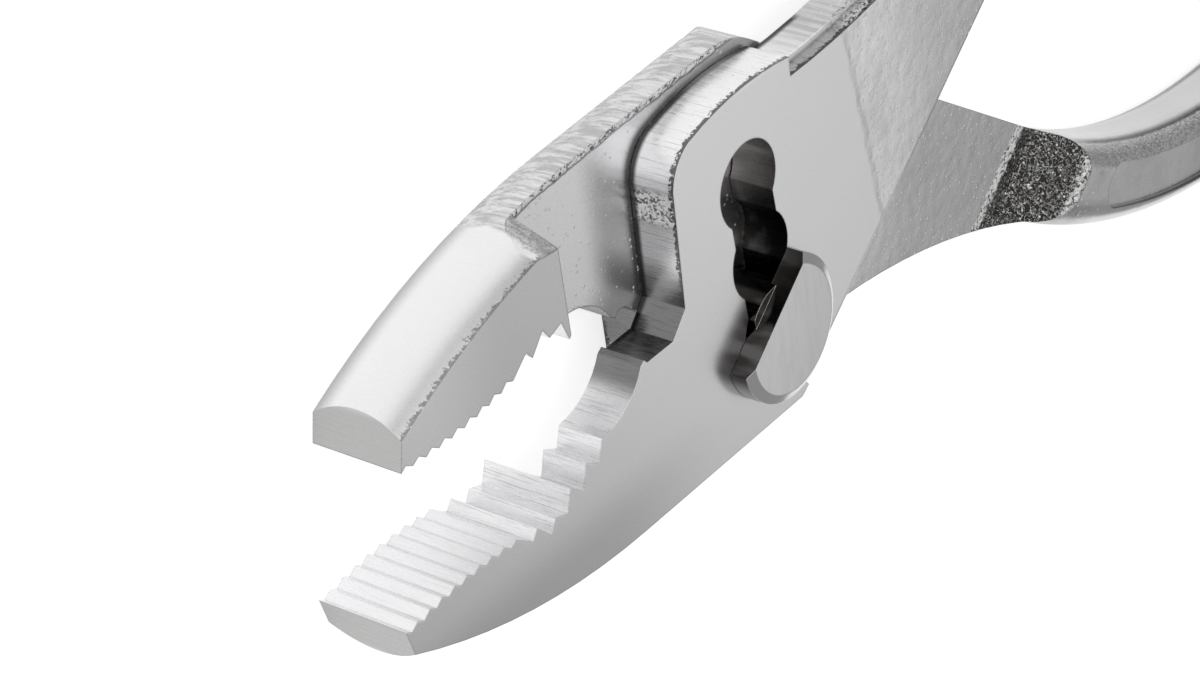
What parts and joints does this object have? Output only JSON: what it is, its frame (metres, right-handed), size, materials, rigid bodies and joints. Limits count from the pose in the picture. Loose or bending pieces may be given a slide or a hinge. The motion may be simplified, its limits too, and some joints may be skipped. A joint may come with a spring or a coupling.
{
  "type": "slip joint pliers",
  "caption": "Slip joint pliers with a slotted front plate, a headed pivot pin, serrated jaws, a pipe grip and a wire cutter notch.",
  "frame": {"origin": "on the pivot pin's axis at rest, level with the rear faces that the pliers lie on", "axes": "+Z along the pin towards its head, +X from the jaws to the handles along the front lever's tooth line, +Y across, from the front lever's jaw to the back lever's jaw"},
  "size_m": [0.1528, 0.0673, 0.0103],
  "materials": {
    "front_lever": "satin nickel plate, ground on the plate and jaw",
    "back_lever": "satin nickel plate, as forged on the neck",
    "pivot_pin": "polished plate"
  },
  "bodies": {
    "front_lever": {"front_lever": "front_lever"},
    "pivot_pin": {"pivot_pin": "pivot_pin"},
    "back_lever": {"back_lever": "back_lever"}
  },
  "joints": [
    {"name": "slip_slide", "type": "slide", "parent": "front_lever", "child": "pivot_pin", "axis": [-0.1097, 0.994, 0], "range_m": [0, 0.01366]},
    {"name": "pivot", "type": "hinge", "parent": "pivot_pin", "child": "back_lever", "pos_m": [0, 0, 0], "axis": [0, 0, 1], "range_deg": [-30, 15]}
  ]
}
